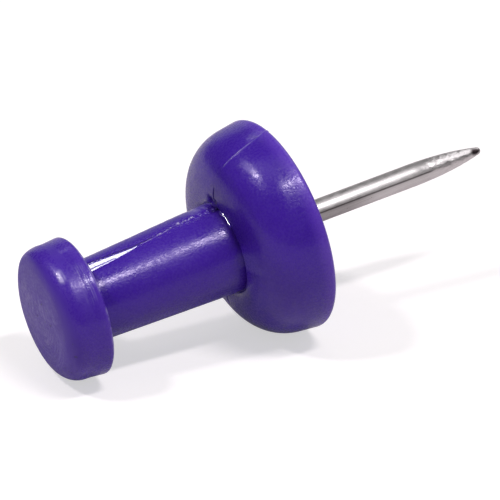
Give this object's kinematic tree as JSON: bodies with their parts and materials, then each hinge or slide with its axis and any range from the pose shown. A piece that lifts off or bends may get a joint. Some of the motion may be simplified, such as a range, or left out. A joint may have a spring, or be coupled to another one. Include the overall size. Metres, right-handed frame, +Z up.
{
  "type": "push pin",
  "caption": "Push pin with a spool-shaped moulded plastic handle, a domed collar that stops against the board, and a pointed steel needle.",
  "frame": {"origin": "centre of the collar's flat underside, where the needle comes out", "axes": "+X along the pin's axis, the way the needle points, so the head is towards -X; +Z up, as in an upright board or lying on a desk; the pieces are round about X"},
  "size_m": [0.0231, 0.01, 0.01],
  "materials": {
    "handle_plastic": "satin gloss moulded violet plastic",
    "needle_steel": "bright drawn wire with a ground point"
  },
  "bodies": {
    "root": {"handle": "handle_plastic", "needle": "needle_steel"}
  },
  "joints": []
}
